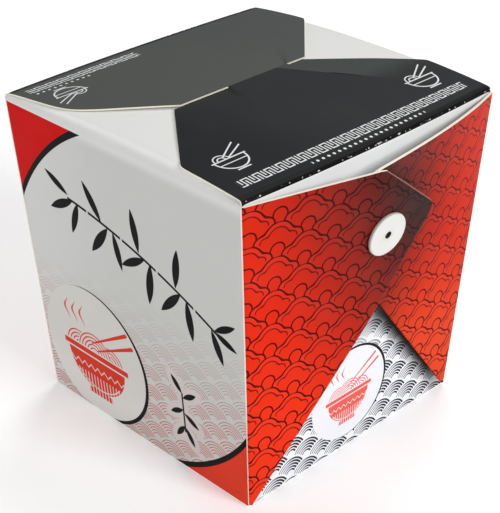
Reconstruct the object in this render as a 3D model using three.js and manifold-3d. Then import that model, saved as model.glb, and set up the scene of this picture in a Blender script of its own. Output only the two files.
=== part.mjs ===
// Folded paperboard noodle box with a square foot, flaring sides and an interlocking lid.
// One sheet of board is folded up at a square base. On the two gusset sides (+X and -X) the doubled
// corner webs fold over outside as wings, and a round button pins the upper wing to the lower one.
// Millimetres, +Z up, origin in the middle of the base.

import * as THREE from 'three';
import * as BufferGeometryUtils from 'three/addons/utils/BufferGeometryUtils.js';
import Module from 'manifold-3d';

const wasm = await Module();
wasm.setup();

// ---- driving dimensions -------------------------------------------------------------------------

const BASE_HALF = 42.5; // square base, half width
const TOP_HALF_X = 47; // mouth, half width between the gusset sides
const TOP_HALF_Y = 49; // mouth, half width between the plain sides
const HEIGHT = 98; // base to the mouth, along which the sides are set out
const MOUTH_BOW = 1.3; // how far the gusset sides bow outwards at the mouth

const WEB_HALF_ANGLE = THREE.MathUtils.degToRad(41.8); // half of the folded corner web
const WEB_TOP_FALL = 0.09; // fall of a wing's top edge for each mm from its hinge
const UPPER_REACH = 98.8; // along the fold, to the clipped end of the upper wing
const LOWER_REACH = 108; // along the fold, to the clipped end of the lower wing
const WING_TIP_RADIUS = 4;
const WING_THICKNESS = 1; // two plies of board
const WING_SEAT = 0.7; // outer face of a wing above the side where it lies flat
const UPPER_SLOPE = 0.148; // stand-off of the upper wing for each mm from its hinge
const UPPER_LIFT = 0.074; // extra slope of the upper wing at its top edge
const UPPER_KNEE = 38; // from here the upper wing bends back parallel to the side
const KNEE_RUN = 8;
const LIFT_START = 64; // height along the hinge where the extra slope begins
const LIFT_RUN = 31;
const LOWER_STAND_OFF = 9; // stand-off that the lower wing's top edge tends to
const LOWER_BEND_RUN = 30;
const LEFT_SPRING = 0.4; // share of that stand-off which the -X wings keep

const CREASE_HEIGHT = 97.6; // where the plain sides roll over into the white flaps
const RIM_HEIGHT = 98.3; // top of the gusset sides, where the black flaps begin
const CROWN_RISE = 2.7; // white flaps, from the rim to their crown
const CROWN_FALL_RIGHT = 3.5; // the higher, the nearer to the rim the crown falls off
const CROWN_FALL_LEFT = 2;
const CROWN_ROLL = 2.6; // how far in from its crease a white flap rolls over
const LID_TOP = 101.8;
const LID_FOLD_RIGHT = 99.5; // height at which a black flap turns over from its hinge
const LID_FOLD_LEFT = 98.7;
const LID_ROLL = 1.2; // run of that turn
const LID_EDGE_DROOP = 0.11; // share of the rise from there lost at the flaps' side edges
const LID_MEETING_X = -1; // line on which the two black flaps interlock
const LID_NOSE_HALF = 24.5; // half length of that line
const LID_SHOULDER_X = 25.4; // from that line to the flap's shoulder
const LID_SHOULDER_HALF = 47.8;
const LID_HINGE_HALF = 48.6;
const LID_DEPTH = 3; // how far a flap's solid reaches down into the crown
const HINGE_DEPTH = 0.9; // and below the rim at its hinge
const HINGE_SET_BACK = 0.25; // from the outside of the rim
const TONGUE_START = -7.2; // the +X flap's tongue lies on top between these
const TONGUE_END = 15.9;
const LAP_STEP = 0.22; // half of the step where the flaps change over
const LAP_FADE = 14;

const BUTTON_RADIUS = 7;
const BUTTON_THICKNESS = 1.2;
const BUTTON_EDGE = 0.25; // edge chamfer
const BUTTON_HOLE_RADIUS = 1.15;
const BUTTON_FROM_HINGE = 47.5;
const BUTTON_ALONG_HINGE = 72;
const BUTTON_GAP = 0.3;

// ---- materials ----------------------------------------------------------------------------------

const board = new THREE.MeshStandardMaterial({ color: 0xd8402c, roughness: 0.42, metalness: 0 });
const buttonPlastic = new THREE.MeshStandardMaterial({ color: 0xf2efe8, roughness: 0.38, metalness: 0 });

// ---- helpers ------------------------------------------------------------------------------------

const { clamp, lerp, smoothstep } = THREE.MathUtils;

// Points spread over the stretches between stops, with a count for each stretch.
function ladder(stops, counts) {
  const rungs = [stops[0]];
  counts.forEach((count, k) => {
    for (let i = 1; i <= count; i++) rungs.push(lerp(stops[k], stops[k + 1], i / count));
  });
  return rungs;
}

// Mirror-symmetric spread over -1..1 that is closer at both ends.
function closerAtEnds(count) {
  return Array.from({ length: count + 1 }, (_, i) => Math.sin((i / count - 0.5) * Math.PI));
}

// A block of cells whose grid points are moved by place(p, q, r, target), each from its own list.
function formedBlock(ps, qs, rs, place) {
  const block = new THREE.BoxGeometry(1, 1, 1, ps.length - 1, qs.length - 1, rs.length - 1);
  block.deleteAttribute('normal');
  block.deleteAttribute('uv');
  const geometry = BufferGeometryUtils.mergeVertices(block);
  const position = geometry.getAttribute('position');
  const point = new THREE.Vector3();
  const pick = (list, unit) => list[Math.round((unit + 0.5) * (list.length - 1))];
  for (let i = 0; i < position.count; i++) {
    point.fromBufferAttribute(position, i);
    place(pick(ps, point.x), pick(qs, point.y), pick(rs, point.z), point);
    position.setXYZ(i, point.x, point.y, point.z);
  }
  return geometry;
}

function toSolid(geometry) {
  const mesh = new wasm.Mesh({
    numProp: 3,
    vertProperties: new Float32Array(geometry.getAttribute('position').array),
    triVerts: new Uint32Array(geometry.getIndex().array),
  });
  return new wasm.Manifold(mesh);
}

function toGeometry(solid) {
  const mesh = solid.getMesh();
  const geometry = new THREE.BufferGeometry();
  geometry.setAttribute('position', new THREE.BufferAttribute(mesh.vertProperties, 3));
  geometry.setIndex(new THREE.BufferAttribute(mesh.triVerts, 1));
  geometry.computeVertexNormals();
  return geometry;
}

// ---- body: the four sides, the base and the crowned white flaps ---------------------------------

const GRID = 14;
const LEVELS = 5;
const ROLL_START = 1 - CROWN_ROLL / TOP_HALF_Y;

// Outward bow of a gusset side: level 0..1 up the side, across -1..1 over its width.
function bow(level, across) {
  return MOUTH_BOW * level ** 4 * (1 - across * across);
}

// Height of the top surface, a and b being -1..1 across the mouth in X and Y.
function crownHeight(a, b) {
  const intoRoll = clamp((Math.abs(b) - ROLL_START) / (1 - ROLL_START), 0, 1);
  const fall = Math.abs(a) ** (a > 0 ? CROWN_FALL_RIGHT : CROWN_FALL_LEFT);
  const rise = RIM_HEIGHT - CREASE_HEIGHT + CROWN_RISE * (1 - fall);
  return CREASE_HEIGHT + rise * Math.sqrt(1 - intoRoll ** 2);
}

function makeBody() {
  const rollMiddle = lerp(ROLL_START, 1, 0.72);
  const fromFront = ladder([-1, -rollMiddle, -ROLL_START, ROLL_START, rollMiddle, 1], [1, 2, 10, 2, 1]);
  return formedBlock(closerAtEnds(GRID), fromFront, ladder([0, 1], [LEVELS]), (a, b, level, target) => {
    target.x = lerp(BASE_HALF, TOP_HALF_X, level) * a + bow(level, b) * a;
    target.y = lerp(BASE_HALF, TOP_HALF_Y, level) * b;
    target.z = level === 1 ? crownHeight(a, b) : level * CREASE_HEIGHT;
  });
}

// ---- lid: two black flaps that interlock over the middle ----------------------------------------

function lidHeight(foldHeight, x, y) {
  const droop = 1 - LID_EDGE_DROOP * (Math.abs(y) / TOP_HALF_Y) ** 10;
  return foldHeight + (LID_TOP - foldHeight) * (1 - (x / TOP_HALF_X) ** 2) * droop;
}

// Half width of a flap at a distance from the line where the flaps meet.
function lidHalfWidth(run) {
  const hingeRun = TOP_HALF_X - LID_MEETING_X;
  if (run < LID_SHOULDER_X) return lerp(LID_NOSE_HALF, LID_SHOULDER_HALF, run / LID_SHOULDER_X);
  return lerp(LID_SHOULDER_HALF, LID_HINGE_HALF, (run - LID_SHOULDER_X) / (hingeRun - LID_SHOULDER_X));
}

// side is +1 for the flap on the +X crease and -1 for the one on the -X crease.
function makeLidFlap(side) {
  const length = TOP_HALF_X - side * LID_MEETING_X;
  const foldHeight = side > 0 ? LID_FOLD_RIGHT : LID_FOLD_LEFT;
  const runs = ladder([0, LID_SHOULDER_X, length - 4, length - LID_ROLL, length], [5, 3, 1, 3]);
  const step = 0.15;
  const tongue = [TONGUE_START - step, TONGUE_START + step, TONGUE_END - step, TONGUE_END + step];
  const ends = [-LID_NOSE_HALF, ...tongue, LID_NOSE_HALF];
  const acrosses = ladder(ends, [5, 1, 5, 1, 3]);
  if (side < 0) runs.reverse();
  return formedBlock(runs, acrosses, [0, 1], (run, noseY, top, target) => {
    const x = LID_MEETING_X + side * run;
    const y = (noseY / LID_NOSE_HALF) * lidHalfWidth(run);
    const onTop = noseY > TONGUE_START && noseY < TONGUE_END ? side : -side;
    const lap = onTop * LAP_STEP * clamp(1 - run / LAP_FADE, 0, 1);
    const turned = clamp((run - length + LID_ROLL) / LID_ROLL, 0, 1);
    const height = lidHeight(foldHeight, x, y);
    const fall = (foldHeight - RIM_HEIGHT) * (1 - Math.sqrt(1 - turned ** 2));
    const shift = bow(1, y / TOP_HALF_Y) * (run / length) ** 6 - HINGE_SET_BACK * turned;
    target.x = x + side * shift;
    target.y = y;
    target.z = top ? height + lap - fall : lerp(height - LID_DEPTH, RIM_HEIGHT - HINGE_DEPTH, turned);
  });
}

// ---- wings: the doubled corner webs folded over the gusset sides --------------------------------

const slantX = Math.hypot(HEIGHT, TOP_HALF_X - BASE_HALF);
const panelUp = new THREE.Vector3(TOP_HALF_X - BASE_HALF, 0, HEIGHT).divideScalar(slantX);
const panelOut = new THREE.Vector3(HEIGHT, 0, BASE_HALF - TOP_HALF_X).divideScalar(slantX);
const hingeLean = Math.atan2(TOP_HALF_Y - BASE_HALF, slantX);
const hingeLength = Math.hypot(slantX, TOP_HALF_Y - BASE_HALF);

// Run over the surface, shortened a little because the wing leans away from the side.
const LEAN_SHORTENING = 0.987;

// Point off the +X side. corner -1 hinges on its front edge and +1 on its rear edge; u runs from
// that hinge over the side, v up along the hinge, and off stands straight off the side.
function offPanel(corner, u, v, off) {
  const run = u * LEAN_SHORTENING;
  const rise = v * Math.cos(hingeLean) + run * Math.sin(hingeLean);
  const y = corner * (BASE_HALF + v * Math.sin(hingeLean) - run * Math.cos(hingeLean));
  return new THREE.Vector3(BASE_HALF, y, 0).addScaledVector(panelUp, rise).addScaledVector(panelOut, off);
}

function upperOff(u, v) {
  const past = Math.max(0, u - UPPER_KNEE);
  const bent = u - past + KNEE_RUN * (1 - Math.exp(-past / KNEE_RUN));
  const lift = UPPER_LIFT * smoothstep(v, LIFT_START, LIFT_START + LIFT_RUN);
  return WING_SEAT + bent * (UPPER_SLOPE + lift);
}

function lowerOff(u, v) {
  const foldV = u / Math.tan(WEB_HALF_ANGLE);
  const topV = hingeLength - WEB_TOP_FALL * u;
  const share = clamp((v - foldV) / (topV - foldV), 0, 1) ** 1.3;
  return WING_SEAT + LOWER_STAND_OFF * (1 - Math.exp(-u / LOWER_BEND_RUN)) * share;
}

// Stand-off of a wing that keeps only that share of its spring.
function sprung(offAt, share) {
  return (u, v) => WING_SEAT + share * (offAt(u, v) - WING_SEAT);
}

// Distance from the bottom corner to the web's outline, at an angle from the hinge.
function webReach(angle, reach) {
  const fromFold = WEB_HALF_ANGLE - angle;
  const toTop = hingeLength / (Math.cos(angle) + WEB_TOP_FALL * Math.sin(angle));
  const toClip = reach / Math.cos(fromFold);
  if (toClip < toTop && toClip * Math.sin(fromFold) < WING_TIP_RADIUS) {
    const along = reach - WING_TIP_RADIUS;
    const half = along * Math.cos(fromFold) + WING_TIP_RADIUS * Math.sin(fromFold);
    return half + Math.sqrt(half * half - along * along);
  }
  return Math.min(toTop, toClip);
}

// Angle at which the top edge meets the clipped end.
function clipAngle(reach) {
  const cos = Math.cos(WEB_HALF_ANGLE);
  const sin = Math.sin(WEB_HALF_ANGLE);
  return Math.atan((reach - hingeLength * cos) / (hingeLength * sin - reach * WEB_TOP_FALL));
}

function makeWing(corner, reach, offAt) {
  const tipAngle = WEB_HALF_ANGLE - WING_TIP_RADIUS / reach;
  const angles = ladder([0.004, clipAngle(reach), tipAngle, WEB_HALF_ANGLE], [8, 6, 3]);
  const shares = ladder([0.01, 0.6, 1], [7, 10]);
  if (corner > 0) angles.reverse();
  return formedBlock(angles, shares, [0, 1], (angle, share, outer, target) => {
    const distance = share * webReach(angle, reach);
    const u = distance * Math.sin(angle);
    const v = distance * Math.cos(angle);
    target.copy(offPanel(corner, u, v, offAt(u, v) - (outer ? 0 : WING_THICKNESS)));
  });
}

function makeWings(share) {
  const upper = toSolid(makeWing(-1, UPPER_REACH, sprung(upperOff, share)));
  const lower = toSolid(makeWing(1, LOWER_REACH, sprung(lowerOff, share)));
  return upper.add(lower);
}

// ---- button -------------------------------------------------------------------------------------

function makeButton() {
  const profile = [
    [BUTTON_HOLE_RADIUS, 0],
    [BUTTON_RADIUS - BUTTON_EDGE, 0],
    [BUTTON_RADIUS, BUTTON_EDGE],
    [BUTTON_RADIUS, BUTTON_THICKNESS - BUTTON_EDGE],
    [BUTTON_RADIUS - BUTTON_EDGE, BUTTON_THICKNESS],
    [BUTTON_HOLE_RADIUS + BUTTON_EDGE, BUTTON_THICKNESS],
    [BUTTON_HOLE_RADIUS, BUTTON_THICKNESS - BUTTON_EDGE],
    [BUTTON_HOLE_RADIUS, 0],
  ].map(([radius, height]) => new THREE.Vector2(radius, height));
  return new THREE.LatheGeometry(profile, 40).rotateX(Math.PI / 2);
}

// Turns the button's axis to the upper wing's own normal and lays it on the wing.
function placeButton(mesh, share) {
  const offAt = sprung(upperOff, share);
  const at = (u, v) => offPanel(-1, u, v, offAt(u, v));
  const centre = at(BUTTON_FROM_HINGE, BUTTON_ALONG_HINGE);
  const across = at(BUTTON_FROM_HINGE + BUTTON_RADIUS, BUTTON_ALONG_HINGE)
    .sub(at(BUTTON_FROM_HINGE - BUTTON_RADIUS, BUTTON_ALONG_HINGE));
  const upwards = at(BUTTON_FROM_HINGE, BUTTON_ALONG_HINGE + BUTTON_RADIUS)
    .sub(at(BUTTON_FROM_HINGE, BUTTON_ALONG_HINGE - BUTTON_RADIUS));
  const normal = across.cross(upwards).normalize();
  mesh.quaternion.setFromUnitVectors(new THREE.Vector3(0, 0, 1), normal);
  mesh.position.copy(centre).addScaledVector(normal, BUTTON_GAP);
}

// ---- assembly -----------------------------------------------------------------------------------

const box = new THREE.Group();

const cartonSolid = toSolid(makeBody())
  .add(makeWings(1))
  .add(makeWings(LEFT_SPRING).rotate([0, 0, 180]))
  .add(toSolid(makeLidFlap(1)))
  .add(toSolid(makeLidFlap(-1)));

const carton = new THREE.Mesh(toGeometry(cartonSolid), board);
carton.name = 'carton';
box.add(carton);

for (const [name, turn, share] of [['button_right', 0, 1], ['button_left', Math.PI, LEFT_SPRING]]) {
  const side = new THREE.Group();
  side.rotation.z = turn;
  const button = new THREE.Mesh(makeButton(), buttonPlastic);
  button.name = name;
  placeButton(button, share);
  side.add(button);
  box.add(side);
}

export default box;
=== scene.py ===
import math
import bpy
from mathutils import Matrix, Vector


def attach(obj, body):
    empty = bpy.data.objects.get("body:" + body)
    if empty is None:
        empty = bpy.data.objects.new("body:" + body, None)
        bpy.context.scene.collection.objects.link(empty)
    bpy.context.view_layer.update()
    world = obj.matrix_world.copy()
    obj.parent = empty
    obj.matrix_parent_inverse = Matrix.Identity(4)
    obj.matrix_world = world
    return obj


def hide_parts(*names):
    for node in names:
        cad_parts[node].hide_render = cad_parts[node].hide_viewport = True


# Noodle takeaway box of printed paperboard, shut. One sheet is folded up from a square base; the
# doubled corner webs are folded over the two gusset sides (+X and -X) as wings, and a button pins
# them. Two black flaps interlock over two white ones. Metres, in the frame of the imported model.

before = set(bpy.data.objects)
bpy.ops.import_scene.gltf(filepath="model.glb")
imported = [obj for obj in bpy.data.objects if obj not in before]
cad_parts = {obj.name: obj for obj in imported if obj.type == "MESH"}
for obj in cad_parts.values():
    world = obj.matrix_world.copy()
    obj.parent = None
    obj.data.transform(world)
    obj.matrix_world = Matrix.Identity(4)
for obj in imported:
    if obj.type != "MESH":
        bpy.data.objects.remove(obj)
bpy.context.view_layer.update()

# ---- sides, base and white flaps ----
# The tub: two plain sides, two gusset sides and the base, with the white flaps that roll over from
# the plain sides and lie under the lid. One sheet of white board, coated and printed outside.

MM = 0.001
BASE_HALF = 42.5 * MM
MOUTH_HALF_X = 47 * MM
MOUTH_HALF_Y = 49 * MM
CREASE_HEIGHT = 97.6 * MM  # where the plain sides roll over into the white flaps
HINGE_HEIGHT = 98 * MM  # where the gusset sides fold into the black flaps
HINGE_LIFT = 0.7 * MM  # of the gusset sides' rims over that crease
MOUTH_BOW = 1.3 * MM
BOW_START = 4  # the higher, the nearer to the mouth the bow starts
RIM_ACROSS, RIM_UP = 40, 8  # the higher, the nearer to its top corners a plain side rises to the rim
CROWN_RISE = 2.7 * MM
CROWN_FALL = {1: 3.5, -1: 2}  # by side: the higher, the nearer to that rim the crown falls off
ROLL_RADIUS = 2.6 * MM
FOLD_ROUNDING = 0.35 * MM
FOLD_CUT = 0.45  # how far inside its sharp edge a fold lies, in radii
SIDE_BULGE = 0.35 * MM
BULGE_EDGE = 0.9  # share of the way out to a plain side at which its bulge starts
SHEET_CUTS = 47
TUB_SMOOTHING = 40

SLANT_Y = math.hypot(HINGE_HEIGHT, MOUTH_HALF_Y - BASE_HALF)
SLANT_X = math.hypot(HINGE_HEIGHT, MOUTH_HALF_X - BASE_HALF)


def blend(low, high, share):
    """From low at share 0 to high at share 1."""
    return low + (high - low) * share


def portion(value, start, end):
    """How far along from start to end a value is, held to 0..1."""
    return min(max((value - start) / (end - start), 0), 1)


def ease(value, start, end):
    """0 before start, 1 after end, and a smooth rise between."""
    share = portion(value, start, end)
    return share * share * (3 - 2 * share)


def rounded(distance, radius):
    """How far a fold of that radius lies inside its sharp edge, at a distance along the board."""
    return FOLD_CUT * (math.hypot(distance, radius) - distance)


def bow(level, across):
    """Outward bow of a gusset side, level 0..1 up it and across -1..1."""
    return MOUTH_BOW * level ** BOW_START * (1 - across * across)


def crown(a, b):
    """Height of the white flaps at a, b -1..1 over the mouth: they roll up from the plain sides."""
    into_roll = max(abs(b) * MOUTH_HALF_Y - (MOUTH_HALF_Y - ROLL_RADIUS), 0) / ROLL_RADIUS
    rise = HINGE_LIFT + CROWN_RISE * (1 - abs(a) ** CROWN_FALL[1 if a > 0 else -1])
    return CREASE_HEIGHT + rise * math.sqrt(max(1 - into_roll * into_roll, 0))


def tub_point(a, b, level):
    """Point of the tub's outside, a, b -1..1 over the box and level 0..1 up it."""
    x = blend(BASE_HALF, MOUTH_HALF_X, level) * a + bow(level, b) * a
    y = blend(BASE_HALF, MOUTH_HALF_Y, level) * b
    bulge = SIDE_BULGE * math.sin(math.pi * level) * (1 - a * a)
    y += math.copysign(bulge, b) * ease(abs(b), BULGE_EDGE, 1)
    rim = blend(CREASE_HEIGHT, crown(1, b), abs(a) ** RIM_ACROSS * level ** RIM_UP)
    point = Vector((x, y, crown(a, b) if level == 1 else level * rim))
    from_side_x = (1 - abs(a)) * MOUTH_HALF_X
    from_side_y = (1 - abs(b)) * MOUTH_HALF_Y
    from_top = (1 - level) * CREASE_HEIGHT
    from_base = level * CREASE_HEIGHT
    out_x = Vector((math.copysign(1, a), 0, 0))
    out_y = Vector((0, math.copysign(1, b), 0))
    up = Vector((0, 0, 1))
    folds = (
        (from_side_x + from_side_y, out_x + out_y),
        (from_side_x + from_base, out_x - up),
        (from_side_y + from_base, out_y - up),
        (from_side_x + from_top, out_x + up),
        (from_side_y + from_top, out_y * 0.6 + up * 0.4),  # a crease that opens less than square
    )
    for distance, outward in folds:
        point -= outward.normalized() * rounded(distance, FOLD_ROUNDING)
    return point


def new_piece(name):
    """Names the primitive just added and puts its place into its mesh."""
    piece = bpy.context.object
    piece.name = piece.data.name = name
    bpy.ops.object.transform_apply(location=True, rotation=True, scale=True)
    return piece


def print_map(mesh, lay):
    """UV map with each corner's place on the printed sheet, in metres, by lay(face, vertex)."""
    while mesh.uv_layers:
        mesh.uv_layers.remove(mesh.uv_layers[0])
    layer = mesh.uv_layers.new(name="print")
    for face in mesh.polygons:
        for loop in face.loop_indices:
            layer.data[loop].uv = lay(face, mesh.vertices[mesh.loops[loop].vertex_index])


def pick(piece):
    """Makes a piece the only one selected, and the active one."""
    bpy.ops.object.select_all(action="DESELECT")
    piece.select_set(True)
    bpy.context.view_layer.objects.active = piece


def smooth_board(piece, angle):
    """Shades a piece smooth over bends of up to so many degrees."""
    pick(piece)
    bpy.ops.object.shade_smooth_by_angle(angle=math.radians(angle))


def closer_at_folds(value):
    """Moves evenly spaced cuts -1..1 closer together towards the folds."""
    return math.sin(value * math.pi / 2)


def sheet_place(face, vertex):
    """Place on the print: across the side and up its slope, the same way round on every side."""
    a, b, c = (closer_at_folds(value) for value in vertex.co)
    level = (1 + c) / 2
    if abs(face.normal.y) > 0.5:
        across = a * blend(BASE_HALF, MOUTH_HALF_X, level)
        return -math.copysign(1, face.normal.y) * across, level * SLANT_Y
    if abs(face.normal.x) > 0.5:
        across = b * blend(BASE_HALF, MOUTH_HALF_Y, level)
        return math.copysign(1, face.normal.x) * across, level * SLANT_X
    return a * MOUTH_HALF_X, b * MOUTH_HALF_Y


bpy.ops.object.select_all(action="DESELECT")
bpy.ops.mesh.primitive_cube_add(size=2, location=(0, 0, 0))
tub = new_piece("tub")
bpy.ops.object.mode_set(mode="EDIT")
bpy.ops.mesh.select_all(action="SELECT")
bpy.ops.mesh.subdivide(number_cuts=SHEET_CUTS)
bpy.ops.object.mode_set(mode="OBJECT")
print_map(tub.data, sheet_place)

PLAIN_SIDE, GUSSET_SIDE, WHITE_FLAP = 0, 1, 2  # places of the tub's materials
for face in tub.data.polygons:
    if abs(face.normal.y) > 0.5:
        face.material_index = PLAIN_SIDE
    elif abs(face.normal.x) > 0.5:
        face.material_index = GUSSET_SIDE
    else:
        face.material_index = WHITE_FLAP
for vertex in tub.data.vertices:
    a, b, c = (closer_at_folds(value) for value in vertex.co)
    vertex.co = tub_point(a, b, (1 + c) / 2)

smooth_board(tub, TUB_SMOOTHING)
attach(tub, "root")
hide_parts("carton")


# The print is worked out in the material from a place on the sheet. An Amount is a number that
# changes over the board, and sums and products of amounts become Math nodes.

class Amount:
    def __init__(self, tree, socket):
        self.tree = tree
        self.socket = socket

    def math(self, operation, *others):
        node = self.tree.nodes.new("ShaderNodeMath")
        node.operation = operation
        for entry, value in zip(node.inputs, (self, *others)):
            feed(value, entry)
        return Amount(self.tree, node.outputs[0])

    def __add__(self, other):
        return self.math("ADD", other)

    def __sub__(self, other):
        return self.math("SUBTRACT", other)

    def __mul__(self, other):
        return self.math("MULTIPLY", other)

    def __truediv__(self, other):
        return self.math("DIVIDE", other)

    __radd__ = __add__
    __rmul__ = __mul__

    def __neg__(self):
        return self * -1

    def __rsub__(self, other):
        return -self + other

    def __abs__(self):
        return self.math("ABSOLUTE")


def feed(value, entry):
    """Joins an amount to a node's input, or writes a plain number there."""
    if isinstance(value, Amount):
        value.tree.links.new(value.socket, entry)
    else:
        entry.default_value = value


def least(first, *others):
    for other in others:
        first = first.math("MINIMUM", other)
    return first


def most(first, *others):
    for other in others:
        first = first.math("MAXIMUM", other)
    return first


def reach(x, y):
    """Distance of a point from the origin."""
    tree = x.tree
    pair = tree.nodes.new("ShaderNodeCombineXYZ")
    feed(x, pair.inputs["X"])
    feed(y, pair.inputs["Y"])
    length = tree.nodes.new("ShaderNodeVectorMath")
    length.operation = "LENGTH"
    tree.links.new(pair.outputs[0], length.inputs[0])
    return Amount(tree, length.outputs["Value"])


def beyond(x, y, circle):
    """Distance outside a circle given by its middle and radius, and below nought inside it."""
    middle_x, middle_y, radius = circle
    return reach(x - middle_x, y - middle_y) - radius


def beyond_bar(x, y, middle_x, middle_y, half_long, half_high):
    """The same for a rectangle, given by its middle and half its sides."""
    return most(abs(x - middle_x) - half_long, abs(y - middle_y) - half_high)


def rise(value, start, end):
    """0 at start, 1 at end, smooth between; end may lie below start."""
    node = value.tree.nodes.new("ShaderNodeMapRange")
    node.interpolation_type = "SMOOTHSTEP"
    feed(value, node.inputs["Value"])
    low, high, bottom, top = (start, end, 0, 1) if end > start else (end, start, 1, 0)
    for label, number in (("From Min", low), ("From Max", high), ("To Min", bottom), ("To Max", top)):
        node.inputs[label].default_value = number
    return Amount(value.tree, node.outputs["Result"])


INK_EDGE = 0.05  # half the soft edge of printed ink, in millimetres


def inside(depth):
    """1 where depth is below nought, with the soft edge of ink."""
    return rise(depth, INK_EDGE, -INK_EDGE)


def turned(x, y, angle, origin):
    """The place seen from axes turned by an angle about an origin."""
    cos, sin = math.cos(math.radians(angle)), math.sin(math.radians(angle))
    x, y = x - origin[0], y - origin[1]
    return x * cos + y * sin, y * cos - x * sin


def put_out(tree, masks):
    """Gives a node group one output for each mask, by name."""
    way_out = tree.nodes.new("NodeGroupOutput")
    for label, mask in masks.items():
        tree.interface.new_socket(name=label, in_out="OUTPUT", socket_type="NodeSocketFloat")
        tree.links.new(mask.socket, way_out.inputs[label])


def print_group(name, inputs, draw):
    """A node group from millimetres on the print to masks; draw returns them by name."""
    tree = bpy.data.node_groups.new(name, "ShaderNodeTree")
    for label in inputs:
        tree.interface.new_socket(name=label, in_out="INPUT", socket_type="NodeSocketFloat")
    way_in = tree.nodes.new("NodeGroupInput")
    put_out(tree, draw(*[Amount(tree, socket) for socket in way_in.outputs[:len(inputs)]]))
    return tree


def printed(group, *amounts):
    """Puts a print group to work on amounts, and returns its masks in their order."""
    tree = amounts[0].tree
    node = tree.nodes.new("ShaderNodeGroup")
    node.node_tree = group
    for entry, value in zip(node.inputs, amounts):
        feed(value, entry)
    masks = [Amount(tree, socket) for socket in node.outputs]
    return masks if len(masks) > 1 else masks[0]


def ink(red, green, blue):
    """A colour given as it shows on a screen, 0..255."""
    shares = (value / 255 for value in (red, green, blue))
    return (*(s / 12.92 if s <= 0.04045 else ((s + 0.055) / 1.055) ** 2.4 for s in shares), 1)


def over(ground, colour, mask):
    """Prints a colour over the ground where the mask is 1. Both are a socket or a plain colour."""
    tree = mask.tree
    mix = tree.nodes.new("ShaderNodeMix")
    mix.data_type = "RGBA"
    feed(mask, mix.inputs[0])
    for entry, value in ((mix.inputs[6], ground), (mix.inputs[7], colour)):
        if isinstance(value, tuple):
            entry.default_value = value
        else:
            tree.links.new(value, entry)
    return mix.outputs[2]


def noise(tree, scale, detail):
    """Even noise 0..1 over a piece, by its own place."""
    place = tree.nodes.new("ShaderNodeTexCoord")
    grains = tree.nodes.new("ShaderNodeTexNoise")
    grains.inputs["Scale"].default_value = scale
    grains.inputs["Detail"].default_value = detail
    tree.links.new(place.outputs["Object"], grains.inputs["Vector"])
    return Amount(tree, grains.outputs["Fac"])


# Fine relief and tone of coated board: felted fibres close up, a slow mottle across the sheet.
GRAINS = (("Fibre", 2600, 3), ("Mottle", 90, 2), ("Waviness", 38, 1))  # name, grains a metre, detail
board_grain = bpy.data.node_groups.new("board_grain", "ShaderNodeTree")
put_out(board_grain, {label: noise(board_grain, scale, detail) for label, scale, detail in GRAINS})

MOTTLE_TONE = ink(150, 146, 138)
MOTTLE_STRENGTH = 0.015


def board_material(name, roughness, paint, relief=0.00003, ripple=0.00012, gloss=0.03):
    """Coated board; paint(x, y) gives its colour from millimetres on the print."""
    material = bpy.data.materials.new(name)
    material.use_nodes = True
    tree = material.node_tree
    shader = tree.nodes["Principled BSDF"]
    spot = tree.nodes.new("ShaderNodeUVMap")
    spot.uv_map = "print"
    split = tree.nodes.new("ShaderNodeSeparateXYZ")
    tree.links.new(spot.outputs[0], split.inputs[0])
    x, y = (Amount(tree, split.outputs[k]) / MM for k in (0, 1))
    grain = tree.nodes.new("ShaderNodeGroup")
    grain.node_tree = board_grain
    fibre, mottle, waviness = (Amount(tree, socket) for socket in grain.outputs)
    shade = over(paint(x, y), MOTTLE_TONE, rise(mottle, 0.45, 0.75) * MOTTLE_STRENGTH)
    tree.links.new(shade, shader.inputs["Base Color"])
    feed(blend(roughness - 0.05, roughness + 0.07, mottle), shader.inputs["Roughness"])
    shader.inputs["Specular IOR Level"].default_value = gloss
    bump = tree.nodes.new("ShaderNodeBump")
    bump.inputs["Distance"].default_value = 1
    feed(fibre * relief + waviness * ripple, bump.inputs["Height"])
    tree.links.new(bump.outputs[0], shader.inputs["Normal"])
    return material


# Overlapping wave fans, the traditional ground of the white sides. X and Y are in fan radii; out
# come the distance from the middle of the frontmost fan and the side of it that a point is on.
FAN_ROW = 0.533


def draw_fans(x, y):
    first = ((y - 1) / FAN_ROW).math("CEIL")
    ring = side = None
    for k in (2, 1, 0):
        row = first + k
        across = (x + row).math("WRAP", 1, -1)
        distance = reach(across, y - row * FAN_ROW)
        if ring is None:
            ring, side = distance, across
        else:
            cover = distance.math("LESS_THAN", 1)
            ring = blend(ring, distance, cover)
            side = blend(side, across, cover)
    return {"Ring": ring, "Side": side}


wave_fans = print_group("wave_fans", ("X", "Y"), draw_fans)

FAN_OUTER_LINE = 0.86
FAN_LINE_STEP = 0.14
FAN_LAST_LINE = 4  # of five, counted from nought


def fan_lines(x, y, radius, thin, thick):
    """Five arcs in each fan, in millimetres, thicker towards the right."""
    ring, side = printed(wave_fans, x / radius, y / radius)
    count = (FAN_OUTER_LINE - ring) / FAN_LINE_STEP
    off_line = abs(count - count.math("ROUND")) * (FAN_LINE_STEP * radius)
    half = blend(thin / 2, thick / 2, rise(side, -0.5, 0.4))
    kept = rise(count, -0.4, -0.2) * rise(count, FAN_LAST_LINE + 0.45, FAN_LAST_LINE + 0.3)
    return inside(off_line - half) * kept


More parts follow.
